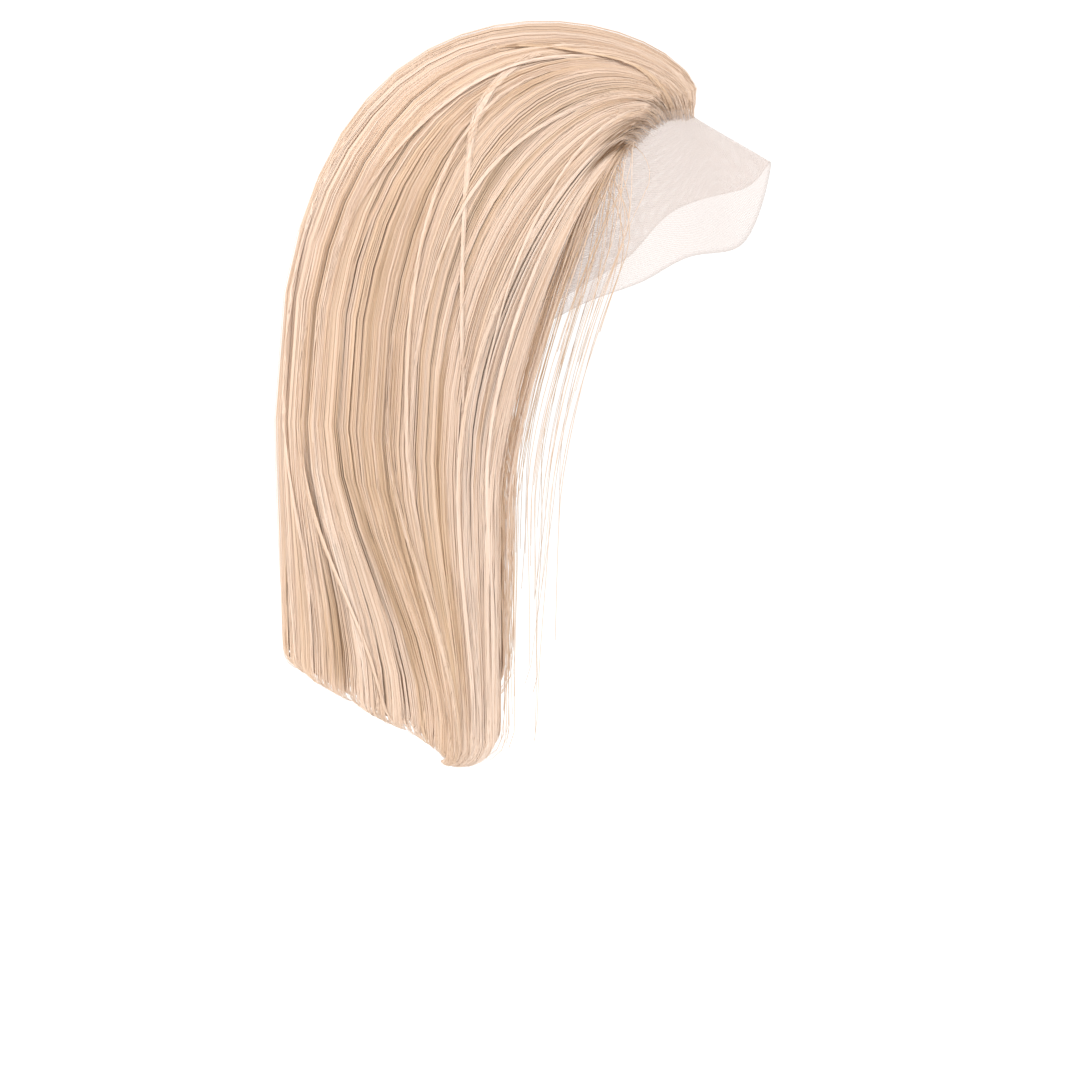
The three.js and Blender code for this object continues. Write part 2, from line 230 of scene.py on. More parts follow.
# The camera that sees the wig's right side from a little above.
CAMERA_PLACE = (-1.48717, -0.00247, -0.06211)
CAMERA_TARGET = (0, -0.00247, -0.25789)

# Shares of a strand's path: where the hair is fullest, hangs, and curls under.
FULL_SHARE = 0.4
SWEEP_SHARE = 0.55
HANG_SHARE = 0.84
ROOT_SHARE = 0.06

# The stretch of the path where all strands share the same places, closer together above its middle.
SHARED_START = 0.11
SHARED_MIDDLE = 0.50
SHARED_END = 0.80
MIDDLE_ROW = len(HAIRLINE["up"]) - 1

# How deep in a lock its strands lie, from its outer skin, 0, to its inner skin, 1.
OUTER_LAYER, MIDDLE_LAYER, INNER_LAYER = 0.0, 0.5, 0.93


class WigSizes(bpy.types.PropertyGroup):
    """The sizes of the head form and of the hair that lies on it."""

    head_half_width: FloatProperty(
        name="Head half width", description="Half the width of the head inside the cap",
        default=75 * MM, unit="LENGTH")
    head_half_length: FloatProperty(
        name="Head half length", description="Half the length of the head from front to back",
        default=91 * MM, unit="LENGTH")
    crown_height: FloatProperty(
        name="Crown height", description="From the middle of the head up to the inside of the cap",
        default=90 * MM, unit="LENGTH")
    nape_height: FloatProperty(
        name="Nape height", description="The head form's depth below its middle",
        default=115 * MM, unit="LENGTH")
    head_squareness: FloatProperty(
        name="Head squareness", description="2 is an ellipse in profile, more is squarer",
        default=2.5)
    cap_wall: FloatProperty(
        name="Cap wall", description="Thickness of the cap", default=CAP_TOP, unit="LENGTH")
    lace_wall: FloatProperty(
        name="Lace gauge", description="Thickness of the lace's solid", default=1 * MM, unit="LENGTH")
    hair_seat: FloatProperty(
        name="Hair seat", description="Gap between the cap and the hair's inner skin",
        default=1.4 * MM, unit="LENGTH")
    side_hair_depth: FloatProperty(
        name="Side hair depth", description="How far the hair stands off the head at the sides",
        default=16 * MM, unit="LENGTH")
    back_hair_depth: FloatProperty(
        name="Back hair depth", description="How far the hair stands off the head at the back",
        default=41.5 * MM, unit="LENGTH")
    hair_length: FloatProperty(
        name="Hair length", description="From the crown down to the lowest ends",
        default=364 * MM, unit="LENGTH")
    root_thickness: FloatProperty(
        name="Root thickness", description="Depth of the hair at its roots",
        default=2 * MM, unit="LENGTH")
    nape_thickness: FloatProperty(
        name="Nape thickness", description="Depth of the hair behind the head",
        default=38 * MM, unit="LENGTH")
    hair_thickness: FloatProperty(
        name="Hang thickness", description="Depth of the hair where it starts to hang",
        default=16 * MM, unit="LENGTH")
    end_thickness: FloatProperty(
        name="End thickness", description="Depth of the hair where it starts to curl",
        default=9 * MM, unit="LENGTH")
    tip_thickness: FloatProperty(
        name="Tip thickness", description="Depth of the hair at its tips",
        default=3 * MM, unit="LENGTH")
    groove_depth: FloatProperty(
        name="Groove depth", description="Depth of the grooves between locks",
        default=4.5 * MM, unit="LENGTH")
    curl_radius: FloatProperty(
        name="Curl radius", description="Radius of the widest curl under at the ends",
        default=20 * MM, unit="LENGTH")
    curl_turn: FloatProperty(
        name="Curl turn", description="How far the ends turn under",
        default=math.radians(100), subtype="ANGLE")
    lace_reach: FloatProperty(
        name="Lace reach", description="How far the uncut lace reaches past the head form",
        default=31 * MM, unit="LENGTH")


class HairLooks(bpy.types.PropertyGroup):
    """How many strands there are, how fine they are and what colour."""

    strands: IntProperty(
        name="Strands", description="Strands in all the locks together", default=4350, min=100)
    hairline_strands: IntProperty(
        name="Hairline strands", description="Fine strands along each half of the hairline",
        default=300, min=10)
    loose_strands: IntProperty(
        name="Loose strands", description="Loose strands at each temple", default=95, min=4)
    strand_radius: FloatProperty(
        name="Strand radius", description="Radius of a strand at its middle",
        default=0.285 * MM, unit="LENGTH")
    flatness: FloatProperty(
        name="Flatness", description="A strand's depth as a share of its width",
        default=0.6, subtype="FACTOR")
    wisp_share: FloatProperty(
        name="Wisp share", description="Share of the strands that gather in wisps",
        default=0.62, subtype="FACTOR")
    wisp_width: FloatProperty(
        name="Wisp width", description="Usual width of a wisp of strands",
        default=4.5 * MM, unit="LENGTH")
    tan: FloatVectorProperty(
        name="Tan", description="The darkest streaks", subtype="COLOR", size=3,
        min=0, max=1, default=(0.62, 0.42, 0.265))
    gold: FloatVectorProperty(
        name="Gold", description="The golden streaks", subtype="COLOR", size=3,
        min=0, max=1, default=(0.755, 0.545, 0.375))
    beige: FloatVectorProperty(
        name="Beige", description="The usual strand", subtype="COLOR", size=3,
        min=0, max=1, default=(0.835, 0.640, 0.500))
    cream: FloatVectorProperty(
        name="Cream", description="The palest streaks", subtype="COLOR", size=3,
        min=0, max=1, default=(0.935, 0.775, 0.660))
    root: FloatVectorProperty(
        name="Root", description="The roots at the temples", subtype="COLOR", size=3,
        min=0, max=1, default=(0.235, 0.115, 0.045))
    roughness: FloatProperty(
        name="Roughness", description="How soft the hair's shine is", default=0.46, subtype="FACTOR")


class LaceLooks(bpy.types.PropertyGroup):
    """The lace's net and the cap's stretch net."""

    mesh_size: FloatProperty(
        name="Lace mesh", description="From one hole of the lace to the next",
        default=1.1 * MM, unit="LENGTH")
    gauge: FloatProperty(
        name="Lace gauge", description="Thickness of the lace itself",
        default=0.25 * MM, unit="LENGTH")
    thread_share: FloatProperty(
        name="Lace thread", description="Width of a thread as a share of the mesh",
        default=0.15, subtype="FACTOR")
    lace: FloatVectorProperty(
        name="Lace colour", description="The lace's thread", subtype="COLOR", size=3,
        min=0, max=1, default=(0.82, 0.73, 0.69))
    cap: FloatVectorProperty(
        name="Cap colour", description="The cap's net", subtype="COLOR", size=3,
        min=0, max=1, default=(0.62, 0.44, 0.29))
    cap_mesh_size: FloatProperty(
        name="Cap mesh", description="From one hole of the cap's net to the next",
        default=1.6 * MM, unit="LENGTH")
    weft_gap: FloatProperty(
        name="Weft gap", description="From one row of sewn hair on the cap to the next",
        default=9 * MM, unit="LENGTH")


class StageLooks(bpy.types.PropertyGroup):
    """The floor, the light and the camera."""

    floor_height: FloatProperty(
        name="Floor height", description="Height of the floor below the wig",
        default=-0.51, unit="LENGTH")
    floor_radius: FloatProperty(
        name="Floor radius", description="Radius of the round floor", default=8.0, unit="LENGTH")
    floor_colour: FloatVectorProperty(
        name="Floor colour", description="The pale floor", subtype="COLOR", size=3,
        min=0, max=1, default=(0.97, 0.97, 0.97))
    sky_strength: FloatProperty(
        name="Sky", description="Strength of the even light from all round", default=1.10)
    key_power: FloatProperty(
        name="Key light", description="Power of the soft light above the camera",
        default=7.0, unit="POWER")
    fill_power: FloatProperty(
        name="Fill light", description="Power of the soft light behind the wig",
        default=11.0, unit="POWER")
    view_width: FloatProperty(
        name="Field of view", description="The camera's angle of view",
        default=math.radians(21.4577), subtype="ANGLE")


def columns(values, names):
    """The named columns side by side, as points or directions."""
    return np.stack([values[name] for name in names.split()], axis=-1)


def between(rows, place):
    """Every column of a table at places between its rows.

    Each is a cubic from row to row whose slope at a row is half the step between its neighbours.
    """
    place = np.asarray(place, float)
    last = len(next(iter(rows.values()))) - 1
    row = np.clip(np.floor(place), 0, last - 1).astype(int)
    share = place - row
    bend = share**2 * (3 - 2 * share)
    result = {}
    for name, column in rows.items():
        padded = np.concatenate(
            [[2 * column[0] - column[1]], column, [2 * column[-1] - column[-2]]])
        before, start, finish, after = (padded[row + step] for step in range(4))
        result[name] = (
            start + (finish - start) * bend
            + (finish - before) / 2 * share * (1 - share)**2
            - (after - start) / 2 * share**2 * (1 - share)
        )
    return result


def mirrored(rows, signed):
    """A table of one side with its other side before it; the signed columns change sign there."""
    signs = {name: -1 if name in signed.split() else 1 for name in rows}
    return {
        name: np.concatenate([signs[name] * column[:0:-1], column])
        for name, column in rows.items()
    }


def both_sides(rows):
    """A table of the right side, its last row in the middle, with its left side after it."""
    return {
        name: np.concatenate([column, column[-2::-1] * (-1 if name == "across" else 1)])
        for name, column in rows.items()
    }


BOTH_HAIRLINE = mirrored(HAIRLINE, "across")
BOTH_SWEEP = mirrored(SWEEP, "lead_across fall_across hang_across")
BOTH_ENDS = mirrored(ENDS, "tuck heading")
WHOLE_SEAM = both_sides(SEAM)
WHOLE_RIM = both_sides(RIM)
WHOLE_BEND = both_sides(LACE_BEND)


def eased(share):
    """From 0 to 1 with a level start and finish: 3 s squared less 2 s cubed."""
    share = np.clip(share, 0, 1)
    return share**2 * (3 - 2 * share)


def risen(side, along):
    """How far a strand has risen off the lace: a quarter of a sine wave, soonest at the crown."""
    reach = ROOT_SHARE * np.interp(np.abs(side), [1.5, 3.5], [0.4, 1.0])
    return np.sin(math.pi / 2 * np.clip(along / reach, 0, 1))


def blended(start, finish, share):
    """The values a share of the way from start to finish, for points too."""
    share = np.asarray(share)
    if np.ndim(start) > share.ndim or np.ndim(finish) > share.ndim:
        share = share[..., None]
    return start + (finish - start) * share


def unit(vectors):
    """The vectors, each with a length of one."""
    length = np.linalg.norm(vectors, axis=-1, keepdims=True)
    return vectors / np.maximum(length, 1e-12)


def turned(start, finish, share):
    """The direction a share of the way round from one direction to another, and their angle."""
    start, finish = unit(start), unit(finish)
    angle = np.arccos(np.clip((start * finish).sum(-1), -1, 1))[..., None]
    share = np.asarray(share)[..., None]
    way = np.sin((1 - share) * angle) * start + np.sin(share * angle) * finish
    return unit(way), angle[..., 0]


class WigForm:
    """The forms that the wig's pieces share, from its sizes."""

    def __init__(self, sizes):
        self.sizes = sizes
        self.centre = np.array([0, 0, -sizes.crown_height])
        self.hair_half_width = sizes.head_half_width + sizes.side_hair_depth
        self.hair_reach = sizes.head_half_length + sizes.back_hair_depth
        self.seat = sizes.cap_wall + sizes.hair_seat

    def head_size(self, across, forward, up):
        """How far a direction reaches: the root of a squared width and a squarer profile."""
        power = self.sizes.head_squareness
        profile = np.abs(forward)**power + np.abs(up)**power
        return np.sqrt(profile**(2 / power) + across**2)

    def on_head(self, directions, lift):
        """The points in these directions on the head's form grown by lift."""
        across, forward, up = np.moveaxis(directions, -1, 0)
        size = self.head_size(across, forward, up)
        height = np.where(up > 0, self.sizes.crown_height, self.sizes.nape_height) + lift
        return self.centre + np.stack([
            across / size * (self.sizes.head_half_width + lift),
            -forward / size * (self.sizes.head_half_length + lift),
            up / size * height,
        ], axis=-1)

    def is_clear(self, points, lift):
        """True where a point is clear of the head's form grown by lift."""
        x, y, z = np.moveaxis(points - self.centre, -1, 0)
        height = np.where(z > 0, self.sizes.crown_height, self.sizes.nape_height) + lift
        return self.head_size(
            x / (self.sizes.head_half_width + lift),
            y / (self.sizes.head_half_length + lift),
            z / height) >= 1

    def hair(self, side, along):
        """Points of the hair's outer form: side counts rows from the middle, along runs root to tip.

        A cubic curve sweeps over the head, an eased line hangs, and an arc curls under.
        """
        side, along = np.broadcast_arrays(side, along)
        place = side + MIDDLE_ROW
        start = between(BOTH_SWEEP, place)
        finish = between(BOTH_ENDS, place)
        width, reach, length = self.hair_half_width, self.hair_reach, self.sizes.hair_length
        hang = np.stack([
            start["hang_across"] * width, -start["hang_forward"] * reach, start["hang_up"] * length,
        ], axis=-1)
        line = columns(between(BOTH_HAIRLINE, place), "across forward up")
        root = self.on_head(line, self.seat + self.sizes.root_thickness)
        lead = root + np.stack([
            start["lead_across"] * self.sizes.head_half_width,
            -start["lead_forward"] * self.sizes.head_half_length,
            start["lead_up"] * self.sizes.crown_height,
        ], axis=-1)
        fall = np.stack([
            start["fall_across"] * width, hang[..., 1], hang[..., 2] + start["fall_above"] * length,
        ], axis=-1)
        swept = np.minimum(along / SWEEP_SHARE, 1)[..., None]
        left = 1 - swept
        sweep = left**3 * root + 3 * left**2 * swept * lead
        sweep += 3 * left * swept**2 * fall + swept**3 * hang
        radius = finish["curl"] * self.sizes.curl_radius
        curl_top = radius - finish["end"] * length
        hung = np.clip((along - SWEEP_SHARE) / (HANG_SHARE - SWEEP_SHARE), 0, 1)
        turn = self.sizes.curl_turn * np.maximum(along - HANG_SHARE, 0) / (1 - HANG_SHARE)
        heading = np.radians(finish["heading"])
        inwards = radius * (1 - np.cos(turn))
        down = np.stack([
            hang[..., 0] - eased(hung) * finish["tuck"] * width - inwards * np.sin(heading),
            hang[..., 1] - eased(hung) * finish["sway"] * reach - inwards * np.cos(heading),
            blended(hang[..., 2], curl_top, hung) - radius * np.sin(turn),
        ], axis=-1)
        return np.where(along[..., None] < SWEEP_SHARE, sweep, down)

    def hair_normal(self, side, along):
        """The direction straight out of the hair's outer form, from two short steps on it."""
        step = 0.004
        down = self.hair(side, np.minimum(along + step, 1)) - self.hair(side, np.maximum(along - step, 0))
        across = self.hair(side + step, along) - self.hair(side - step, along)
        return unit(np.cross(across, down))

    def full_thickness(self, side, along):
        """The hair's thickness: thin at the root, full, then thinner to the tip."""
        sizes = self.sizes
        fullest = between(BOTH_SWEEP, side + MIDDLE_ROW)["depth"] * sizes.nape_thickness
        rising = sizes.root_thickness + (fullest - sizes.root_thickness) * np.sqrt(along / FULL_SHARE)
        shares = [FULL_SHARE, SWEEP_SHARE, HANG_SHARE, 1]
        depths = [sizes.hair_thickness, sizes.end_thickness, sizes.tip_thickness]
        falling = fullest
        for number, depth in enumerate(depths):
            first, last = shares[number], shares[number + 1]
            share = np.clip((along - first) / (last - first), 0, 1)
            falling = falling + (depth - falling) * np.where(along >= last, 1, share)
        return np.where(along < FULL_SHARE, rising, falling)

    def thickness(self, side, along, points, normals):
        """The same, but no deeper than the cap allows, found by halving."""
        halvings = 14
        most = self.full_thickness(side, along)
        free = self.is_clear(points - normals * most[..., None], self.seat)
        full, least = most, np.zeros_like(most)
        for _ in range(halvings):
            middle = (least + most) / 2
            clear = self.is_clear(points - normals * middle[..., None], self.seat)
            least = np.where(clear, middle, least)
            most = np.where(clear, most, middle)
        return np.where(free, full, least)

    def cap_surface(self, down, around, lift=0.0):
        """The cap's middle surface: down runs from the seam to the rim, around from right to left."""
        seam_gap = 0.3 * MM
        last = len(WHOLE_SEAM["up"]) - 1
        notch = NOTCH_ROW / last
        front = between(WHOLE_SEAM, blended(notch, 1 - notch, around) * last)
        lower = between(WHOLE_RIM, around * (len(WHOLE_RIM["up"]) - 1))
        start, finish = columns(front, "across forward up"), columns(lower, "across forward up")
        angle = turned(start, finish, np.zeros_like(down))[1]
        share = blended(seam_gap / (angle * self.sizes.crown_height), 1, down)
        return self.on_head(turned(start, finish, share)[0], self.sizes.cap_wall / 2 + lift)

    def lace_surface(self, down, around):
        """The lace's middle surface: over the head down to the hairline, then straight to its edge."""
        last = len(WHOLE_SEAM["up"]) - 1
        names = "across forward up"
        seam = columns(between(WHOLE_SEAM, around * last), names)
        bend = columns(between(WHOLE_BEND, around * (len(WHOLE_BEND["up"]) - 1)), names)
        lift = self.sizes.lace_wall / 2
        lying = self.on_head(turned(seam, bend, np.minimum(down / LACE_BEND_SHARE, 1))[0], lift)
        edge = between(LACE_EDGE, around * (len(LACE_EDGE["up"]) - 1))
        free = self.centre + np.stack([
            edge["across"] * self.sizes.head_half_width,
            -(edge["forward"] * self.sizes.head_half_length + edge["beyond"] * self.sizes.lace_reach),
            edge["up"] * self.sizes.crown_height,
        ], axis=-1)
        share = (down - LACE_BEND_SHARE) / (1 - LACE_BEND_SHARE)
        standing = blended(self.on_head(bend, lift), free, share)
        return np.where(down[..., None] < LACE_BEND_SHARE, lying, standing)


def make_piece(name, points, faces, uv, values):
    """A mesh from arrays: points, faces of four or three corners, uv of each point, named values."""
    mesh = bpy.data.meshes.new(name)
    corners = np.concatenate([group.ravel() for group in faces]).astype(np.int32)
    sizes = np.concatenate([np.full(len(group), group.shape[1]) for group in faces])
    starts = np.concatenate([[0], np.cumsum(sizes)[:-1]]).astype(np.int32)
    mesh.vertices.add(len(points))
    mesh.vertices.foreach_set("co", points.astype(np.float32).ravel())
    mesh.loops.add(len(corners))
    mesh.loops.foreach_set("vertex_index", corners)
    mesh.polygons.add(len(starts))
    mesh.polygons.foreach_set("loop_start", starts)
    mesh.update(calc_edges=True)
    mesh.polygons.foreach_set("use_smooth", np.ones(len(starts), bool))
    layer = mesh.uv_layers.new(name="UVMap")
    layer.uv.foreach_set("vector", uv[corners].astype(np.float32).ravel())
    for key, column in values.items():
        attribute = mesh.attributes.new(key, "FLOAT", "POINT")
        attribute.data.foreach_set("value", column.astype(np.float32))
    piece = bpy.data.objects.new(name, mesh)
    bpy.context.scene.collection.objects.link(piece)
    return piece


def grid_faces(rows, columns_count, start=0):
    """The faces of a grid of points, row by row."""
    corner = start + np.arange(rows * columns_count).reshape(rows, columns_count)
    return np.stack([
        corner[:-1, :-1], corner[1:, :-1], corner[1:, 1:], corner[:-1, 1:],
    ], axis=-1).reshape(-1, 4)


def wall_faces(outer_edge, inner_edge):
    """The faces between two rows of corners that run side by side."""
    return np.stack([outer_edge[:-1], outer_edge[1:], inner_edge[1:], inner_edge[:-1]], axis=-1)


def closed_shell(outer, inner):
    """Points and faces of one closed body between two grids, its faces turned out."""
    rows, across = outer.shape[:2]
    count = rows * across
    first = np.arange(count).reshape(rows, across)
    second = first + count
    faces = np.concatenate([
        grid_faces(rows, across),
        grid_faces(rows, across, count)[:, ::-1],
        wall_faces(first[0], second[0]),
        wall_faces(first[-1], second[-1])[:, ::-1],
        wall_faces(first[:, 0], second[:, 0])[:, ::-1],
        wall_faces(first[:, -1], second[:, -1]),
    ])
    points = np.concatenate([outer.reshape(-1, 3), inner.reshape(-1, 3)])
    a, b, c = points[faces[:, 0]], points[faces[:, 1]], points[faces[:, 2]]
    d = points[faces[:, 3]]
    volume = (a * np.cross(b, c)).sum() + (a * np.cross(c, d)).sum()
    return points, faces if volume > 0 else faces[:, ::-1]


def surface_normals(surface, down, around):
    """The directions straight out of a surface of two shares, from two short steps on it."""
    step = 0.004
    lower = surface(np.minimum(down + step, 1), around) - surface(np.maximum(down - step, 0), around)
    further = surface(down, np.minimum(around + step, 1)) - surface(down, np.maximum(around - step, 0))
    return unit(np.cross(lower, further))


def strand_tubes(paths, normals, radii, flatness):
    """Points and faces of a closed three-sided tube along each path.

    Each ring's corners stand a third of a turn apart about the path's own direction, on an
    ellipse that is wide across the hair and flat towards its outside.
    """
    count, stations = paths.shape[:2]
    along = unit(np.gradient(paths, axis=1))
    beside = unit(np.cross(along, normals))
    outwards = np.cross(beside, along) * flatness
    turn = np.radians([90, 210, 330])
    ring = paths[:, :, None] + radii[:, :, None, None] * (
        np.cos(turn)[:, None] * beside[:, :, None] + np.sin(turn)[:, None] * outwards[:, :, None])
    corner = np.arange(count * stations * 3).reshape(count, stations, 3)
    following = np.roll(corner, -1, axis=2)
    sides = np.stack([
        corner[:, :-1], following[:, :-1], following[:, 1:], corner[:, 1:],
    ], axis=-1).reshape(-1, 4)
    ends = np.concatenate([corner[:, 0, ::-1], corner[:, -1]])
    return ring.reshape(-1, 3), sides, ends


def coloured(colour):
    """A colour with full cover."""
    return (*colour, 1)


class Socket:
    """A node's output, so that shader maths reads as plain expressions."""

    def __init__(self, finish, output):
        self.finish = finish
        self.output = output

    def maths(self, operation, *values):
        return self.finish.node("ShaderNodeMath", {"operation": operation}, dict(enumerate(values)))

    def __add__(self, other):
        return self.maths("ADD", self, other)

    __radd__ = __add__

    def __sub__(self, other):
        return self.maths("SUBTRACT", self, other)

    def __rsub__(self, other):
        return self.maths("SUBTRACT", other, self)

    def __mul__(self, other):
        return self.maths("MULTIPLY", self, other)

    __rmul__ = __mul__

    def __truediv__(self, other):
        return self.maths("DIVIDE", self, other)

    def most(self, other):
        return self.maths("MAXIMUM", self, other)

    def size(self):
        return self.maths("ABSOLUTE", self)

    def repeated(self, period):
        """The value within its own repeat, from 0 to the period."""
        return self.maths("FLOORED_MODULO", self, period)

    def ramped(self, low, high):
        """0 at low and 1 at high, with a soft start and finish between."""
        return self.finish.node(
            "ShaderNodeMapRange", {"interpolation_type": "SMOOTHSTEP"},
            {"Value": self, "From Min": low, "From Max": high})


class Finish:
    """A material that is built node by node and ends in one shader."""

    def __init__(self, name):
        self.material = bpy.data.materials.new(name)
        self.material.use_nodes = True
        self.tree = self.material.node_tree
        self.tree.nodes.clear()

    def node(self, kind, settings=None, values=None, output=0):
        """A new node with its settings, then the values or links of its sockets."""
        node = self.tree.nodes.new(kind)
        for name, value in (settings or {}).items():
            if name == "stops":
                ramp = node.color_ramp.elements
                while len(ramp) < len(value):
                    ramp.new(0.5)
                for element, (position, colour) in zip(ramp, value):
                    element.position = position
                    element.color = coloured(colour)
            else:
                setattr(node, name, value)
        for name, value in (values or {}).items():
            socket = node.inputs[name]
            if isinstance(value, Socket):
                self.tree.links.new(value.output, socket)
            else:
                socket.default_value = value
        return Socket(self, node.outputs[output]) if node.outputs else None

    def attribute(self, name):
        """A value that the piece's mesh holds for each point."""
        return self.node("ShaderNodeAttribute", {"attribute_name": name}, output="Fac")

    def mixed(self, first, second, share):
        """The colour a share of the way from the first to the second."""
        return self.node(
            "ShaderNodeMix", {"data_type": "RGBA"}, {0: share, 6: first, 7: second}, output=2)

    def surface(self, **values):
        """The one shader of the material, and its output."""
        names = {name.replace("_", " ").title(): value for name, value in values.items()}
        names = {name.replace("Ior", "IOR"): value for name, value in names.items()}
        shader = self.node("ShaderNodeBsdfPrincipled", values=names)
        self.node("ShaderNodeOutputMaterial", values={"Surface": shader})
        return self.material


def hair_finish(looks):
    """Blonde hair: each strand's own tone, broad soft bands that run with it, and darker roots.

    Finer streaks and their relief show on the mass of hair under the strands alone.
    """
    finish = Finish("blonde_hair")
    place = finish.node("ShaderNodeUVMap", {"uv_map": "UVMap"})
    mass = finish.attribute("mass")
    noises = []
    for across, along, detail in ((5.0, 1.6, 3.0), (70.0, 4.0, 2.0)):
        stretched = finish.node(
            "ShaderNodeMapping", values={"Vector": place, "Scale": (across, along, 1)})
        noises.append(finish.node(
            "ShaderNodeTexNoise", {"noise_dimensions": "2D"},
            {"Vector": stretched, "Scale": 1.0, "Detail": detail, "Roughness": 0.6}))
    bands, streaks = noises
    streaks = (streaks - 0.5) * mass
    tone = finish.attribute("tone") + (bands - 0.5) * 0.6 + streaks * 0.6
    colour = finish.node("ShaderNodeValToRGB", {"stops": [
        (0.0, looks.tan), (0.35, looks.gold), (0.62, looks.beige), (1.0, looks.cream),
    ]}, {"Fac": tone})
    colour = finish.mixed(colour, coloured(looks.root), finish.attribute("root_dark"))
    bump = finish.node("ShaderNodeBump", values={"Strength": 0.3, "Distance": 0.0004, "Height": streaks})
    return finish.surface(
        base_color=colour, roughness=0.1 * bands + (looks.roughness - 0.05), normal=bump,
        specular_ior_level=0.32, sheen_weight=0.1, sheen_roughness=0.4,
        sheen_tint=(1.0, 0.88, 0.78, 1))


def hexagon_net(finish, across, down, mesh_size, thread_share):
    """1 on the threads of a net of hexagons and 0 in its holes.

    Two grids of cells, one shifted by half a cell, give the nearest hexagon's middle. The thread
    lies where the distance to its edge is small.
    """
    tall = math.sqrt(3)
    x, y = across / mesh_size, down / mesh_size
    middles = []
    for shift in (0.0, 0.5):
        cell_x = (x + shift).repeated(1.0) - 0.5
        cell_y = (y + shift * tall).repeated(tall) - tall / 2
        middles.append((cell_x, cell_y, cell_x * cell_x + cell_y * cell_y))
    (x_one, y_one, far_one), (x_two, y_two, far_two) = middles
    nearer = far_one.maths("LESS_THAN", far_one, far_two)
    cell_x = (x_one * nearer + x_two * (1 - nearer)).size()
    cell_y = (y_one * nearer + y_two * (1 - nearer)).size()
    reach = cell_x.most(cell_x * 0.5 + cell_y * (tall / 2))
    return reach.ramped(0.5 - thread_share * 1.25, 0.5 - thread_share * 0.6)


def lace_finish(looks):
    """Sheer lace: a fine hexagon net whose holes are clear."""
    finish = Finish("sheer_lace")
    place = finish.node("ShaderNodeUVMap", {"uv_map": "UVMap"})
    split = finish.node("ShaderNodeSeparateXYZ", values={"Vector": place})
    down = Socket(finish, split.output.node.outputs["Y"])
    net = hexagon_net(finish, split, down, looks.mesh_size, looks.thread_share)
    bump = finish.node("ShaderNodeBump", values={"Strength": 0.5, "Distance": 0.0002, "Height": net})
    edge = finish.attribute("edge")
    return finish.surface(
        base_color=coloured(looks.lace), roughness=0.75, normal=bump,
        alpha=(0.115 + net * 0.55).most(edge * 0.5))


def cap_finish(looks):
    """Stretch net of the cap with rows of sewn hair; its holes are a darker copy of the cap's colour,
    painted shade seen through them.
    """
    finish = Finish("cap_stretch_net")
    place = finish.node("ShaderNodeUVMap", {"uv_map": "UVMap"})
    split = finish.node("ShaderNodeSeparateXYZ", values={"Vector": place})
    down = Socket(finish, split.output.node.outputs["Y"])
    net = hexagon_net(finish, split, down, looks.cap_mesh_size, 0.16)
    row = finish.attribute("weft")
    # The holes take the cap's colour darkened, as painted shade; the threads and sewn rows keep the cap's
    # own colour.
    colour = finish.mixed(
        coloured([0.62 * value for value in looks.cap]), coloured(looks.cap), net.most(row))
    height = net * 0.5 + row
    bump = finish.node("ShaderNodeBump", values={"Strength": 0.8, "Distance": 0.0004, "Height": height})
    return finish.surface(base_color=colour, roughness=0.85, normal=bump, sheen_weight=0.2)


def stations(start, end):
    """Where strands have points, as shares of the path from the hairline to the ends.

    Each has a root and a tip of its own. Between them all share the same places, so that
    neighbours bend alike.
    """
    root = start + (SHARED_START - start) * np.array([0, 0.14, 0.36, 0.66])
    sweep = np.linspace(SHARED_START, SHARED_MIDDLE, 15)
    shared = np.concatenate([sweep, np.linspace(SHARED_MIDDLE, SHARED_END, 7)[1:]])
    shared = np.repeat(shared[None], len(start), 0)
    tip = SHARED_END + (end - SHARED_END) * np.linspace(0, 1, 7)[1:]
    return np.concatenate([root, shared, tip], axis=1)


def waves(rng, count, along, size, members=None):
    """Gentle random waves of each strand: two sines of its path, a little wider towards its tip.

    Where members are given, each strand takes the wave of the group that it belongs to.
    """
    members = np.arange(count) if members is None else members
    swing = np.zeros_like(along)
    for turns, share in ((1.1, 0.7), (2.7, 0.3)):
        phase = rng.uniform(0, 2 * math.pi, (count, 1))[members]
        rate = turns * rng.uniform(0.7, 1.3, (count, 1))[members]
        height = share * rng.normal(0, 1, (count, 1))[members]
        swing += height * np.sin(phase + 2 * math.pi * rate * along)
    return size * swing * (0.35 + 0.9 * along)


def streaked(rows, side, along, fade):
    """The sum of a table's streaks: a bell across each one, faded in and out along it."""
    total = np.zeros_like(side)
    for row, to, half, start, finish, shift in zip(*rows.values()):
        middle = blended(row, to, np.clip((along - start) / (finish - start), 0, 1))
        across = np.exp(-((np.abs(side) - middle) / half)**2)
        shown = eased((along - start) / fade) * eased((finish - along) / fade)
        total += shift * across * shown
    return total


def streak_tone(side, along):
    """How much the streaks change the hair's tone."""
    return streaked(STREAKS, side, along, 0.08)


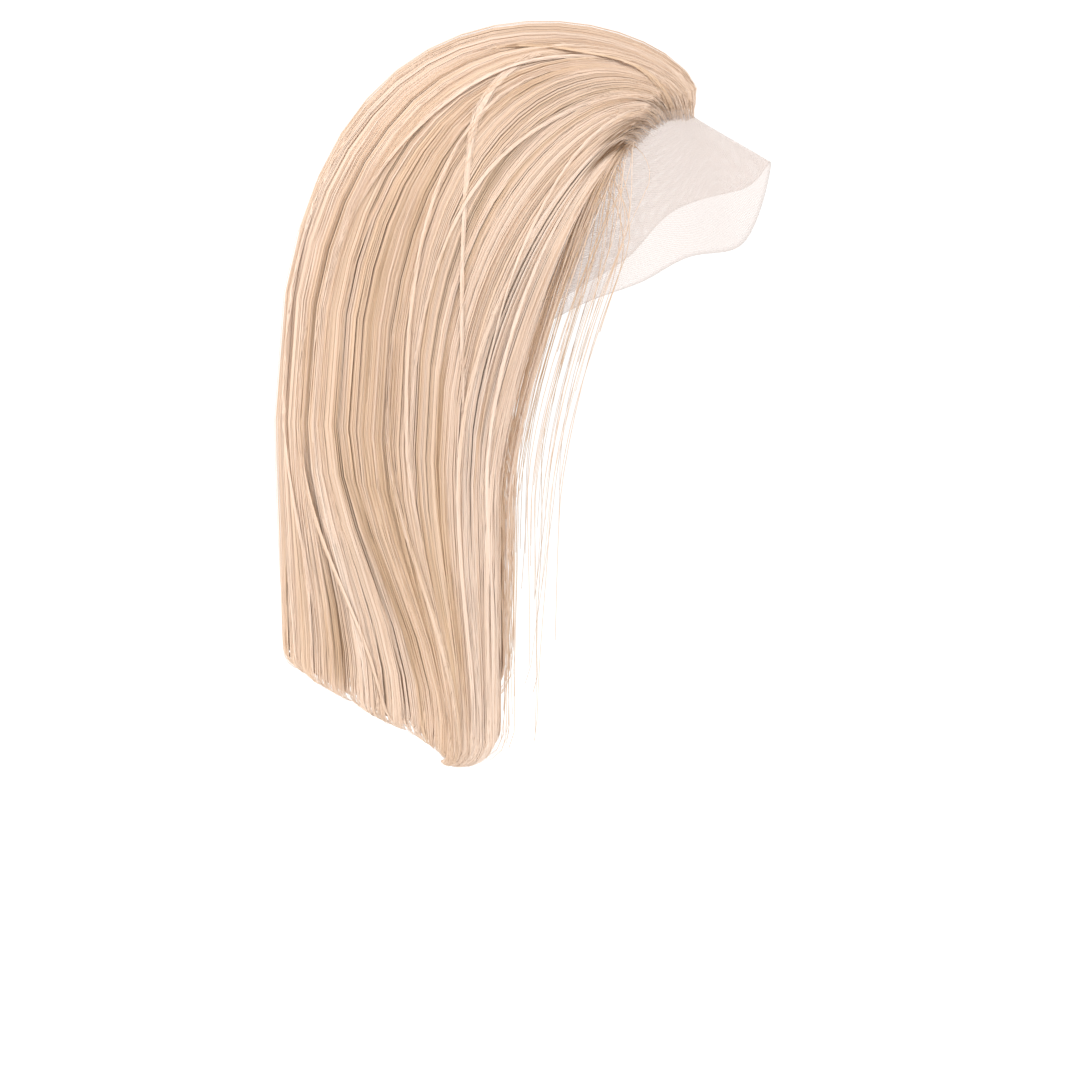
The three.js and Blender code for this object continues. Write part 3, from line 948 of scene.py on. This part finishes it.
class Lock:
    """One lock of the hair between two places on the hairline."""

    def __init__(self, form, start, finish, low, trim, tone):
        self.form = form
        self.start, self.finish = start, finish
        self.low, self.trim, self.tone = low, trim, tone

    @property
    def width(self):
        """The lock's usual width."""
        return 2 * self.half_width(np.linspace(0, 1, 12)).mean()

    def half_width(self, along):
        """Half the lock's width along its path."""
        edges = [self.form.hair(np.full_like(along, side), along) for side in (self.start, self.finish)]
        return np.linalg.norm(edges[1] - edges[0], axis=-1) / 2

    def place(self, across, depth, along, proud, taper, grooved=1.0):
        """Points in the lock: across from -1 to 1, depth from its outer skin, 0, to its inner, 1.

        The outer skin is crowned by half a circle within the groove's depth, of which grooved is
        the share that is cut, and proud lifts it. At the hairline every depth comes down to the lace.
        """
        form = self.form
        curled = np.maximum(0, (along - HANG_SHARE) / (1 - HANG_SHARE))
        kept = 1 - taper * np.minimum(curled, 1)
        side = blended(self.start, self.finish, 0.5 + across * kept / 2)
        outer = form.hair(side, along)
        normal = form.hair_normal(side, along)
        thick = form.thickness(side, along, outer, normal)
        crown = np.sqrt(np.clip(1 - across**2, 0, 1))
        groove = np.minimum(form.sizes.groove_depth, thick * 0.6) * grooved
        sunk = groove * (self.low + (1 - self.low) * (1 - crown))
        down = blended(sunk, thick, depth) - proud
        at_lace = thick + form.seat - form.sizes.lace_wall / 2
        down = blended(at_lace, down, risen(side, along))
        return outer - normal * down[..., None], normal, side


def root_darkness(side, along, strength):
    """How dark a root is: the dark streaks, and a little all along the temple's hairline."""
    streaks = streaked(ROOT_STREAKS, side, along + 0.025, 0.06)
    edge = np.interp(np.abs(side), [0, 2.2, 3.4, 5.4, 6], [0.10, 0.15, 0.35, 0.35, 0.15])
    return np.clip(strength * (1.3 * streaks + edge * (1 - eased(along / 0.05))), 0, 1)


def lock_strands(rng, lock, count, looks):
    """The strands of a lock: an even cover, and wisps that gather, drift and taper."""
    form = lock.form
    wisps = max(8, round(lock.width * 3.6 / looks.wisp_width))
    wisp_of = rng.integers(0, wisps, count)
    in_wisp = rng.uniform(0, 1, (count, 1)) < looks.wisp_share
    # Where each strand starts and ends: a fifth of them are cut shorter.
    start = rng.uniform(0, 1, (count, 1))**2.2 * 0.07
    short = rng.uniform(0, 1, (count, 1)) < 0.2
    end = 1 - lock.trim - rng.uniform(0, 0.03, (count, 1)) - short * rng.uniform(0, 0.12, (count, 1))
    end = end - np.where(in_wisp, rng.uniform(-0.02, 0.04, wisps)[wisp_of][:, None], 0)
    along = stations(start, np.clip(end, 0.84, 1))
    path = (along - start) / (along[:, -1:] - start)
    half = lock.half_width(along)
    # Which layer it lies in, and where across the lock: gathered in wisps that drift, or even.
    layers = np.array([OUTER_LAYER, MIDDLE_LAYER, INNER_LAYER])
    layer = layers[rng.choice(3, wisps, p=[0.85, 0.01, 0.14])]
    loose_layer = layers[rng.choice(3, count, p=[0.83, 0.01, 0.16])][:, None]
    wisp_middle = rng.uniform(-1, 1, wisps)[wisp_of][:, None]
    drift = waves(rng, wisps, along, 2.4 * MM, wisp_of) / half
    width = rng.uniform(0.4, 1.6, wisps)[wisp_of][:, None] * looks.wisp_width / 2
    gather = 1 - 0.55 * eased((along - 0.62) / 0.38)
    offset = rng.normal(0, 0.5, (count, 1)) * width * gather / half
    own = waves(rng, count, along, 0.3 * MM) / half
    even = (rng.permutation(count) + 0.5)[:, None] / count * 2 - 1
    across = np.where(in_wisp, wisp_middle + drift + offset, even * 1.02) + own
    across = np.clip(across, -1.2, 1.2)
    depth = np.where(in_wisp, layer[wisp_of][:, None], loose_layer)
    inwards = np.where(depth < INNER_LAYER, 1, -1)
    depth = np.clip(depth + rng.uniform(0, 0.05, (count, 1)) * inwards, 0, 1)
    # How proud it stands: a wisp is rounded, and a few strands stray.
    lift = rng.uniform(-0.6, 0.8, wisps)[wisp_of][:, None] * MM
    rounded = np.clip(1 - (offset * half / (width + 1e-9))**2, 0, 1)
    stray = (rng.uniform(0, 1, (count, 1)) < 0.03) * rng.uniform(0.6, 2.4, (count, 1)) * MM
    proud = (np.where(in_wisp, lift * rounded, 0) + stray) * np.sin(math.pi * path)**0.5
    on_top = depth < MIDDLE_LAYER
    proud = np.where(on_top, proud, 0)
    # The strand's path, which leaves the lace at its root.
    taper, grooved = 0.1, 0.55
    points, normal, side = lock.place(across, depth, along, proud, taper, grooved)
    lowered = np.full_like(across, form.sizes.lace_wall / 2 - form.seat)
    at_lace = lock.place(across, np.ones_like(across), along, lowered, taper)[0]
    points = blended(at_lace, points, risen(side, along - start))
    # Its thickness, tone and dark root.
    thin = blended(0.5, 1, eased(path / 0.08)) * (1 - 0.5 * eased((path - 0.90) / 0.10))
    radii = looks.strand_radius * rng.uniform(0.65, 1.25, (count, 1)) * thin
    tone = lock.tone + np.where(
        in_wisp[:, 0], rng.normal(0, 0.08, wisps)[wisp_of], rng.normal(0, 0.05, count))
    # Strands below the outer layer are a little darker: painted shade under the strands on top.
    tone = tone + rng.normal(0, 0.05, count) - 0.06 * ~on_top[:, 0]
    tone = tone[:, None] + streak_tone(side, along)
    dark_wisp = rng.uniform(0.45, 1.1, wisps)
    dark_own = rng.uniform(0.35, 1.1, count)
    dark = np.where(in_wisp[:, 0], dark_wisp[wisp_of], dark_own)[:, None]
    return points, normal, radii, tone, root_darkness(side, along, dark), side, along


def lock_base(lock, tone):
    """The closed mass of hair under a lock's strands, a little inside its form; its tone comes in darker
    than the lock's, as painted shade that shows in the gaps between the strands.
    """
    rows, across_count, taper = 48, 11, 0.14
    along = blended(0.035, 0.985 - lock.trim, np.linspace(0, 1, rows))[:, None]
    across = np.linspace(-0.93, 0.93, across_count)[None]
    along, across = np.broadcast_arrays(along, across)
    ends = 0.45 * (1 - eased((along - 0.035) / 0.09)) + 0.35 * eased((along - 0.78) / 0.15)
    outer, _, side = lock.place(across, 0.15 + ends, along, -0.6 * MM, taper)
    inner = lock.place(across, 0.95 - 0.2 * ends, along, 0.0, taper)[0]
    points, faces = closed_shell(outer, inner)
    uv = np.stack([side, along], axis=-1).reshape(-1, 2)
    tones = tone + streak_tone(side, along)
    dark = root_darkness(side, along, 0.8)
    uv = np.concatenate([uv, uv + [0.5, 0]])
    return points, faces, uv, np.tile(tones.ravel(), 2), np.tile(dark.ravel(), 2)


def strand_parts(paths, normals, radii, tone, dark, side, along, flatness):
    """The points, faces, uv and values of strands; uv is the row of the hairline and the share."""
    points, sides, ends = strand_tubes(paths, normals, radii, flatness)
    uv = np.stack([side, along], axis=-1).reshape(-1, 2)
    return points, [sides, ends], np.repeat(uv, 3, axis=0), {
        "tone": np.repeat(np.broadcast_to(tone, along.shape).ravel(), 3),
        "root_dark": np.repeat(np.broadcast_to(dark, along.shape).ravel(), 3),
        "mass": np.zeros(len(points)),
    }


def hair_piece(name, finish, parts, base=None):
    """A piece of strands, joined to the mass under them where there is one."""
    points, faces, uv, values = parts
    if base is not None:
        base_points, base_faces, base_uv, base_tone, base_dark = base
        shift = len(base_points)
        points = np.concatenate([base_points, points])
        faces = [base_faces, *(group + shift for group in faces)]
        uv = np.concatenate([base_uv, uv])
        base_values = {"tone": base_tone, "root_dark": base_dark, "mass": np.ones(shift)}
        values = {key: np.concatenate([base_values[key], values[key]]) for key in values}
    piece = make_piece(name, points, faces, uv, values)
    piece.data.materials.append(finish)
    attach(piece, "root")
    return piece


class WIG_OT_locks(bpy.types.Operator):
    """Builds every lock of hair as a mass with fine strands over it"""

    bl_idname = "wig.locks"
    bl_label = "Build the locks of hair"

    def execute(self, context):
        sizes, looks = context.scene.wig_sizes, context.scene.wig_hair
        form = WigForm(sizes)
        finish = hair_finish(looks)
        planned = [("crown_lock", "hair_crown",
                    Lock(form, -CROWN_LOCK_HALF, CROWN_LOCK_HALF, 0, 0, CROWN_LOCK_TONE))]
        for side_name, sign in SIDES.items():
            start = CROWN_LOCK_HALF
            for number, to in enumerate(LOCKS["to"]):
                row = {name: column[number] for name, column in LOCKS.items()}
                lock = Lock(form, sign * start, sign * to, row["low"], row["trim"], row["tone"])
                label = f"{side_name}_{number + 1}"
                planned.append((f"lock_{label}", f"hair_{label}", lock))
                start = to
        spans = np.array([lock.width for _, _, lock in planned])
        counts = np.round(looks.strands * spans / spans.sum()).astype(int)
        for seed, ((node, name, lock), count) in enumerate(zip(planned, counts)):
            rng = np.random.default_rng(100 + seed)
            parts = strand_parts(*lock_strands(rng, lock, count, looks), looks.flatness)
            # The mass takes a darker tone than its lock: painted shade for the gaps between the strands.
            piece = hair_piece(name, finish, parts, lock_base(lock, lock.tone - 0.14))
            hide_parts(node)
        return {"FINISHED"}


def wisp_strands(rng, form, row, sign, looks):
    """The strands of a wisp that comes up out of the hair, crosses it and goes under again."""
    count = round(row["width"] * 9)
    path = np.linspace(0, 1, 16)[None]
    width = row["width"] * MM
    drift = waves(rng, 1, path, 1.6 * MM)
    offset = rng.normal(0, 0.32, (count, 1)) * width * (1 - 0.6 * path)
    along = blended(row["start"], row["finish"], path) + rng.normal(0, 0.015, (count, 1))
    along = np.clip(along, 0.004, 0.99)
    share = (along - row["start"]) / (row["finish"] - row["start"])
    middle = sign * blended(row["row"], row["to"], eased(share))
    across = np.linalg.norm(form.hair(middle + 0.1, along) - form.hair(middle, along), axis=-1)
    own = waves(rng, count, along, 0.4 * MM)
    side = middle + (drift + offset + own) / across * 0.1
    surface, normal = form.hair(side, along), form.hair_normal(side, along)
    rounded = np.clip(1 - (offset / width)**2, 0, 1)
    up = np.sin(math.pi * path)**0.6
    lift = blended(-2.5 * MM, row["lift"] * MM * rounded, up)
    radii = looks.strand_radius * rng.uniform(0.6, 1.1, (count, 1)) * (0.5 + 0.5 * up)
    tone = row["tone"] + rng.normal(0, 0.07, (count, 1))
    dark = root_darkness(side, along, 0.6)
    return surface + normal * lift[..., None], normal, radii, tone, dark, side, along


class WIG_OT_wisps(bpy.types.Operator):
    """Builds the wisps that cross over the locks"""

    bl_idname = "wig.wisps"
    bl_label = "Build the crossing wisps"

    def execute(self, context):
        looks = context.scene.wig_hair
        form = WigForm(context.scene.wig_sizes)
        finish = bpy.data.materials["blonde_hair"]
        for side_name, sign in SIDES.items():
            rng = np.random.default_rng(60 + sign)
            rows = [dict(zip(WISPS, values)) for values in zip(*WISPS.values())]
            made = [wisp_strands(rng, form, row, sign, looks) for row in rows]
            together = [np.concatenate(part) for part in zip(*made)]
            hair_piece(f"crossing_wisps_{side_name}", finish,
                       strand_parts(*together, looks.flatness))
        return {"FINISHED"}


def clear_of_head(form, points, lift):
    """The points, those inside the head's form grown by lift moved straight out to it."""
    x, y, z = np.moveaxis(points - form.centre, -1, 0)
    height = np.where(z > 0, form.sizes.crown_height, form.sizes.nape_height) + lift
    size = form.head_size(
        x / (form.sizes.head_half_width + lift), y / (form.sizes.head_half_length + lift), z / height)
    return form.centre + (points - form.centre) / np.minimum(size, 1)[..., None]


def hairline_paths(rng, form, count, sign):
    """Fine hairs from just before the hairline, which lie on the lace and run into the hair."""
    share = np.linspace(0, 1, 9)[None]
    side = sign * 6.0 * rng.uniform(0, 1, (count, 1))**0.6
    before = rng.uniform(0, 1, (count, 1))**2 * 5.0 * MM
    aside = side - sign * rng.uniform(0, 0.35, (count, 1)) * share
    along = share * rng.uniform(0.06, 0.20, (count, 1))
    path = form.hair(aside, along)
    away = unit(path[:, 1:2] - path[:, :1])
    path = path - away * (before * (1 - share)**2)[..., None]
    outwards = unit(path - form.centre)
    sunk = blended(-2.6, rng.uniform(-2.4, 0.6, (count, 1)), np.sin(math.pi / 2 * share)) * MM
    path = clear_of_head(form, path + outwards * sunk[..., None], form.sizes.lace_wall / 2)
    return path, outwards, share + 0 * side, aside, along


class WIG_OT_hairline(bpy.types.Operator):
    """Builds the fine short hairs along the hairline"""

    bl_idname = "wig.hairline"
    bl_label = "Build the hairline"

    def execute(self, context):
        looks = context.scene.wig_hair
        form = WigForm(context.scene.wig_sizes)
        finish = bpy.data.materials["blonde_hair"]
        count = looks.hairline_strands
        for side_name, sign in SIDES.items():
            rng = np.random.default_rng(80 + sign)
            path, normal, share, side, along = hairline_paths(rng, form, count, sign)
            radii = looks.strand_radius * rng.uniform(0.4, 0.8, (count, 1)) * (1 - 0.5 * share)
            tone = rng.normal(0.6, 0.15, (count, 1))
            dark = root_darkness(side, along, rng.uniform(0.3, 1.0, (count, 1)))
            parts = strand_parts(path, normal, radii, tone, dark, side, along, looks.flatness)
            hair_piece(f"hairline_{side_name}", finish, parts)
        return {"FINISHED"}


def stray_paths(form, rng, count, sign):
    """Loose strands in front of the hair: they follow its front edge, and sway forward of it.

    Each starts at the temple's hairline, moves forward over the lace by a rise and fall of its
    path, and hangs in a slow wave beside the edge.
    """
    share = np.linspace(0, 1, 20)[None]
    side = sign * rng.uniform(5.1, 6.0, (count, 1))
    along = share * rng.uniform(0.22, 0.97, (count, 1))
    edge = blended(side, sign * 6.0, eased(along / 0.25))
    path = form.hair(edge, np.maximum(along, 0.004))
    near = rng.uniform(0, 1, (count, 1)) < 0.78
    forward = np.where(near, rng.uniform(0, 7, (count, 1)), rng.uniform(6, 32, (count, 1))) * MM
    leaving = eased(along / rng.uniform(0.12, 0.34, (count, 1)))
    returning = 1 - rng.uniform(0, 0.7, (count, 1)) * eased((along - 0.45) / 0.55)
    path[..., 1] -= forward * leaving * returning
    path[..., 1] += waves(rng, count, along, 1.8 * MM) * eased(along / 0.2)
    path[..., 0] += waves(rng, count, along, 1.2 * MM) * eased(along / 0.2)
    path[..., 0] += sign * rng.uniform(-5, 1.5, (count, 1)) * MM * eased(along / 0.3)
    outwards = unit(path - form.centre)
    path = path - outwards * (2.6 * MM * (1 - eased(along / 0.06)))[..., None]
    path = clear_of_head(form, path, form.sizes.lace_wall)
    normal = np.zeros_like(path)
    normal[..., 0] = sign
    return path, normal, edge, along


class WIG_OT_strays(bpy.types.Operator):
    """Builds the loose strands that hang from the temples"""

    bl_idname = "wig.strays"
    bl_label = "Build the loose strands"

    def execute(self, context):
        looks = context.scene.wig_hair
        form = WigForm(context.scene.wig_sizes)
        finish = bpy.data.materials["blonde_hair"]
        count = looks.loose_strands
        for side_name, sign in SIDES.items():
            rng = np.random.default_rng(40 + sign)
            path, normal, side, along = stray_paths(form, rng, count, sign)
            radii = looks.strand_radius * rng.uniform(0.5, 0.85, (count, 1)) * (1 - 0.35 * along)
            tone = rng.normal(0.5, 0.22, (count, 1))
            dark = root_darkness(side, along, rng.uniform(0, 1, (count, 1)))
            parts = strand_parts(path, normal, radii, tone, dark, side, along, looks.flatness)
            hair_piece(f"loose_strands_{side_name}", finish, parts)
        return {"FINISHED"}


def sheet_grid(rows, around):
    """Two grids of shares, down and around."""
    return np.meshgrid(np.linspace(0, 1, rows), np.linspace(0, 1, around), indexing="ij")


def flat_map(points):
    """Where each point of a grid lies when it is laid flat: metres across and down it."""
    across = np.linalg.norm(np.diff(points, axis=1), axis=-1)
    across = np.concatenate([np.zeros((len(points), 1)), np.cumsum(across, 1)], axis=1)
    across = across - across[:, across.shape[1] // 2][:, None]
    down = np.linalg.norm(np.diff(points, axis=0), axis=-1)
    down = np.concatenate([np.zeros((1, points.shape[1])), np.cumsum(down, 0)])
    return np.stack([across, down], axis=-1)


def grid_area(points):
    """The area of a grid of points, two triangles a cell."""
    first = np.cross(points[1:, :-1] - points[:-1, :-1], points[1:, 1:] - points[:-1, :-1])
    second = np.cross(points[1:, 1:] - points[:-1, :-1], points[:-1, 1:] - points[:-1, :-1])
    return (np.linalg.norm(first, axis=-1) + np.linalg.norm(second, axis=-1)).sum() / 2


class WIG_OT_lace(bpy.types.Operator):
    """Builds the sheer lace from the seam to its wide uncut edge"""

    bl_idname = "wig.lace"
    bl_label = "Build the lace front"

    def execute(self, context):
        looks = context.scene.wig_lace
        form = WigForm(context.scene.wig_sizes)
        down, around = sheet_grid(48, 112)
        middle = form.lace_surface(down, around)
        normal = surface_normals(form.lace_surface, down, around)
        loose = eased((down - LACE_BEND_SHARE) / (1 - LACE_BEND_SHARE))
        ripple = 0.45 * MM * (np.sin(around * 61) + np.sin(around * 37 + 1.3))
        middle = middle + normal * (ripple * loose)[..., None]
        shells = [middle + normal * side * looks.gauge / 2 for side in (1, -1)]
        points, faces = closed_shell(*shells)
        flat = flat_map(middle)
        uv = np.tile(flat.reshape(-1, 2), (2, 1))
        to_edge = (flat[-1:, :, 1] - flat[..., 1])
        edge = np.tile((1 - eased(to_edge / (0.6 * MM))).ravel(), 2)
        piece = make_piece("sheer_lace", points, [faces], uv, {"edge": edge})
        piece.data.materials.append(lace_finish(looks))
        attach(piece, "root")
        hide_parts("lace_front")
        float(grid_area(middle))
        return {"FINISHED"}


class WIG_OT_cap(bpy.types.Operator):
    """Builds the cap's stretch net with its rows of sewn hair and its bound edge"""

    bl_idname = "wig.cap"
    bl_label = "Build the cap"

    def execute(self, context):
        sizes, looks = context.scene.wig_sizes, context.scene.wig_lace
        form = WigForm(sizes)
        down, around = sheet_grid(84, 84)
        middle = form.cap_surface(down, around)
        normal = surface_normals(form.cap_surface, down, around)
        normal *= np.sign((normal * (middle - form.centre)).sum(-1, keepdims=True))
        flat = flat_map(middle)
        from_row = np.abs((flat[..., 1] / looks.weft_gap + 0.5) % 1 - 0.5) * looks.weft_gap
        weft = 1 - eased(from_row / (1.3 * MM))
        to_rim = flat[-1:, :, 1] - flat[..., 1]
        binding = 1 - eased((to_rim - 5 * MM) / (0.8 * MM))
        raised = np.maximum(weft * 0.35, binding * 0.45) * MM
        outer = middle + normal * (sizes.cap_wall / 2)
        inner = middle - normal * (sizes.cap_wall / 2 - 0.45 * MM + raised)[..., None]
        points, faces = closed_shell(outer, inner)
        uv = np.tile(flat.reshape(-1, 2), (2, 1))
        piece = make_piece(
            "cap_net", points, [faces], uv, {"weft": np.tile(np.maximum(weft, binding).ravel(), 2)})
        piece.data.materials.append(cap_finish(looks))
        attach(piece, "root")
        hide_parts("cap")
        return {"FINISHED"}


def area_light(name, place, target, width, power, colour):
    """A soft square light that faces a point."""
    data = bpy.data.lights.new(name, "AREA")
    data.size = width
    data.energy = power
    data.color = colour
    light = bpy.data.objects.new(name, data)
    light.location = place
    light.rotation_euler = (Vector(target) - Vector(place)).to_track_quat("-Z", "Y").to_euler()
    bpy.context.scene.collection.objects.link(light)


class WIG_OT_stage(bpy.types.Operator):
    """Builds the pale floor, the soft light and the camera"""

    bl_idname = "wig.stage"
    bl_label = "Build the stage"

    def execute(self, context):
        stage = context.scene.wig_stage
        scene = context.scene
        turn = np.linspace(0, 2 * math.pi, 64, endpoint=False)
        rim = stage.floor_radius * np.stack([np.cos(turn), np.sin(turn)], axis=-1)
        points = np.column_stack([rim, np.full(len(turn), stage.floor_height)])
        faces = np.arange(len(turn))[None]
        floor = make_piece("floor", points, [faces], rim, {})
        finish = Finish("pale_floor")
        place = finish.node("ShaderNodeTexCoord", output="Object")
        grain = finish.node("ShaderNodeTexNoise", values={"Vector": place, "Scale": 40.0})
        shade = finish.mixed(
            coloured(stage.floor_colour), coloured([0.98 * v for v in stage.floor_colour]), grain)
        floor.data.materials.append(finish.surface(base_color=shade, roughness=0.9))
        world = bpy.data.worlds.new("soft_studio")
        world.use_nodes = True
        background = world.node_tree.nodes["Background"]
        background.inputs["Color"].default_value = (1.0, 0.995, 0.99, 1)
        background.inputs["Strength"].default_value = stage.sky_strength
        scene.world = world
        middle = (0, 0, -0.16)
        area_light("key_light", (-1.3, -0.7, 1.0), middle, 1.1, stage.key_power, (1.0, 0.98, 0.95))
        area_light("back_light", (-0.4, 1.5, 0.6), middle, 1.0, stage.fill_power, (1.0, 0.98, 0.96))
        data = bpy.data.cameras.new("photo_camera")
        data.sensor_width = 36
        data.lens = data.sensor_width / 2 / math.tan(stage.view_width / 2)
        camera = bpy.data.objects.new("photo_camera", data)
        eye, target = Vector(CAMERA_PLACE), Vector(CAMERA_TARGET)
        camera.matrix_world = Matrix.Translation(eye) @ (
            (target - eye).to_track_quat("-Z", "Y").to_matrix().to_4x4())
        scene.collection.objects.link(camera)
        scene.camera = camera
        scene.view_settings.view_transform = "Standard"
        return {"FINISHED"}


class WIG_PT_panel(bpy.types.Panel):
    """Lists the wig's sizes and its pieces"""

    bl_idname = "WIG_PT_panel"
    bl_label = "Lace Front Bob Wig"
    bl_space_type = "VIEW_3D"
    bl_region_type = "UI"
    bl_category = "Wig"

    def draw(self, context):
        layout = self.layout
        for group in (context.scene.wig_sizes, context.scene.wig_hair,
                      context.scene.wig_lace, context.scene.wig_stage):
            box = layout.box()
            for name in group.__annotations__:
                box.prop(group, name)
        for operator in OPERATORS:
            layout.operator(operator.bl_idname)


GROUPS = {
    "wig_sizes": WigSizes,
    "wig_hair": HairLooks,
    "wig_lace": LaceLooks,
    "wig_stage": StageLooks,
}
OPERATORS = (
    WIG_OT_stage, WIG_OT_cap, WIG_OT_lace, WIG_OT_locks, WIG_OT_wisps, WIG_OT_hairline,
    WIG_OT_strays,
)


def register():
    for group in GROUPS.values():
        bpy.utils.register_class(group)
    for name, group in GROUPS.items():
        setattr(bpy.types.Scene, name, PointerProperty(type=group))
    for kind in (*OPERATORS, WIG_PT_panel):
        bpy.utils.register_class(kind)


def unregister():
    for kind in (WIG_PT_panel, *reversed(OPERATORS)):
        bpy.utils.unregister_class(kind)
    for name in GROUPS:
        delattr(bpy.types.Scene, name)
    for group in reversed(GROUPS.values()):
        bpy.utils.unregister_class(group)


def main():
    register()
    bpy.ops.wig.stage()
    bpy.ops.wig.cap()
    bpy.ops.wig.lace()
    bpy.ops.wig.locks()
    bpy.ops.wig.wisps()
    bpy.ops.wig.hairline()
    bpy.ops.wig.strays()


if __name__ == "__main__":
    main()
